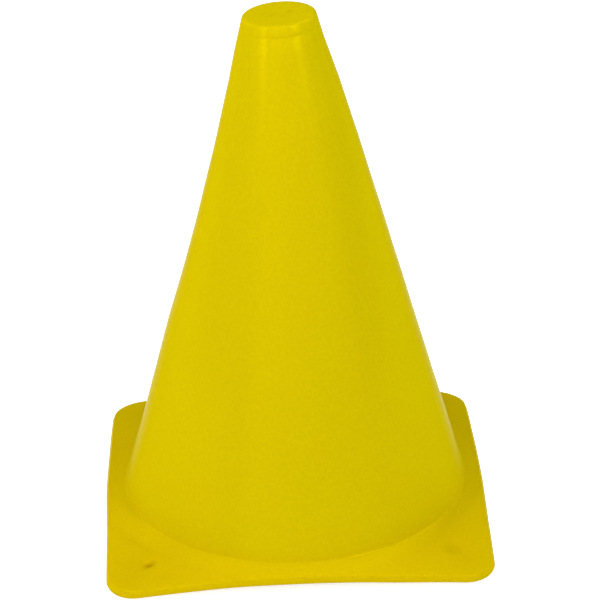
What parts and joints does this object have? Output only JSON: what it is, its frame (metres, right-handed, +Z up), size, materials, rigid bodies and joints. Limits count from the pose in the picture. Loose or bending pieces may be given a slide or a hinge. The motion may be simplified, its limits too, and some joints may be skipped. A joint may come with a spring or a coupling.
{
  "type": "sports marker cone",
  "caption": "Small hollow marker cone in soft plastic, closed at the top, moulded in one piece with a thin square flange that stands on short corner feet.",
  "frame": {"origin": "on the ground under the middle of the cone", "axes": "+Z up along the cone's axis, X and Y along the sides of the square flange, -Y towards the viewer of the picture"},
  "size_m": [0.1298, 0.1298, 0.18],
  "materials": {
    "moulded_plastic": "satin"
  },
  "bodies": {
    "root": {"marker_cone": "moulded_plastic"}
  },
  "joints": []
}
